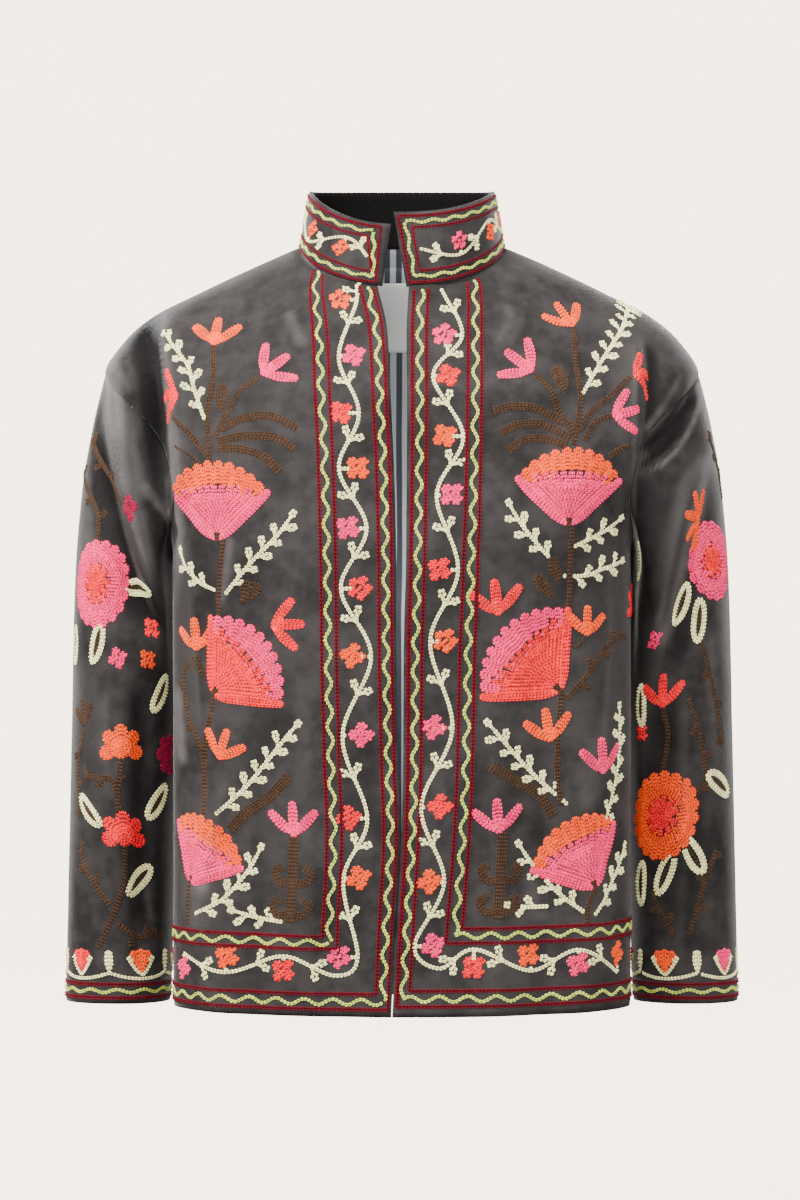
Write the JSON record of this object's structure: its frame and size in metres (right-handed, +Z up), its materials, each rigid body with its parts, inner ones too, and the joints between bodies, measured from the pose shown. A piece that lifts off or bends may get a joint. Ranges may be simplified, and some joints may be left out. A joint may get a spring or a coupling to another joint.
{
  "type": "velvet jacket",
  "caption": "Open-fronted velvet jacket with a stand collar, dropped shoulders and long sleeves, filled out as it is worn.",
  "frame": {"origin": "the middle of the neck opening, at the height of the shoulder seams' inner ends, where the wearer's neck and shoulders carry the jacket", "axes": "+Z up from hem to collar, front towards -Y, +X towards the wearer's left sleeve"},
  "size_m": [0.556, 0.2461, 0.6684],
  "materials": {
    "velvet": "taupe grey cotton velvet with a short nap and a soft sheen",
    "striped_lining": "plain woven lining with navy and pale grey stripes",
    "grey_label": "bare grey woven label",
    "cream_wool": "cream wool chain stitch",
    "pink_wool": "pink wool chain stitch",
    "coral_wool": "coral red wool chain stitch",
    "orange_wool": "orange wool chain stitch",
    "brown_wool": "dark brown wool chain stitch",
    "wine_wool": "wine red wool chain stitch",
    "green_wool": "yellow green wool chain stitch"
  },
  "bodies": {
    "root": {"front_right": "velvet", "front_left": "velvet", "back": "velvet", "sleeve_right": "velvet", "sleeve_left": "velvet", "collar": "velvet", "lining_back": "striped_lining", "label": "grey_label"}
  },
  "joints": []
}
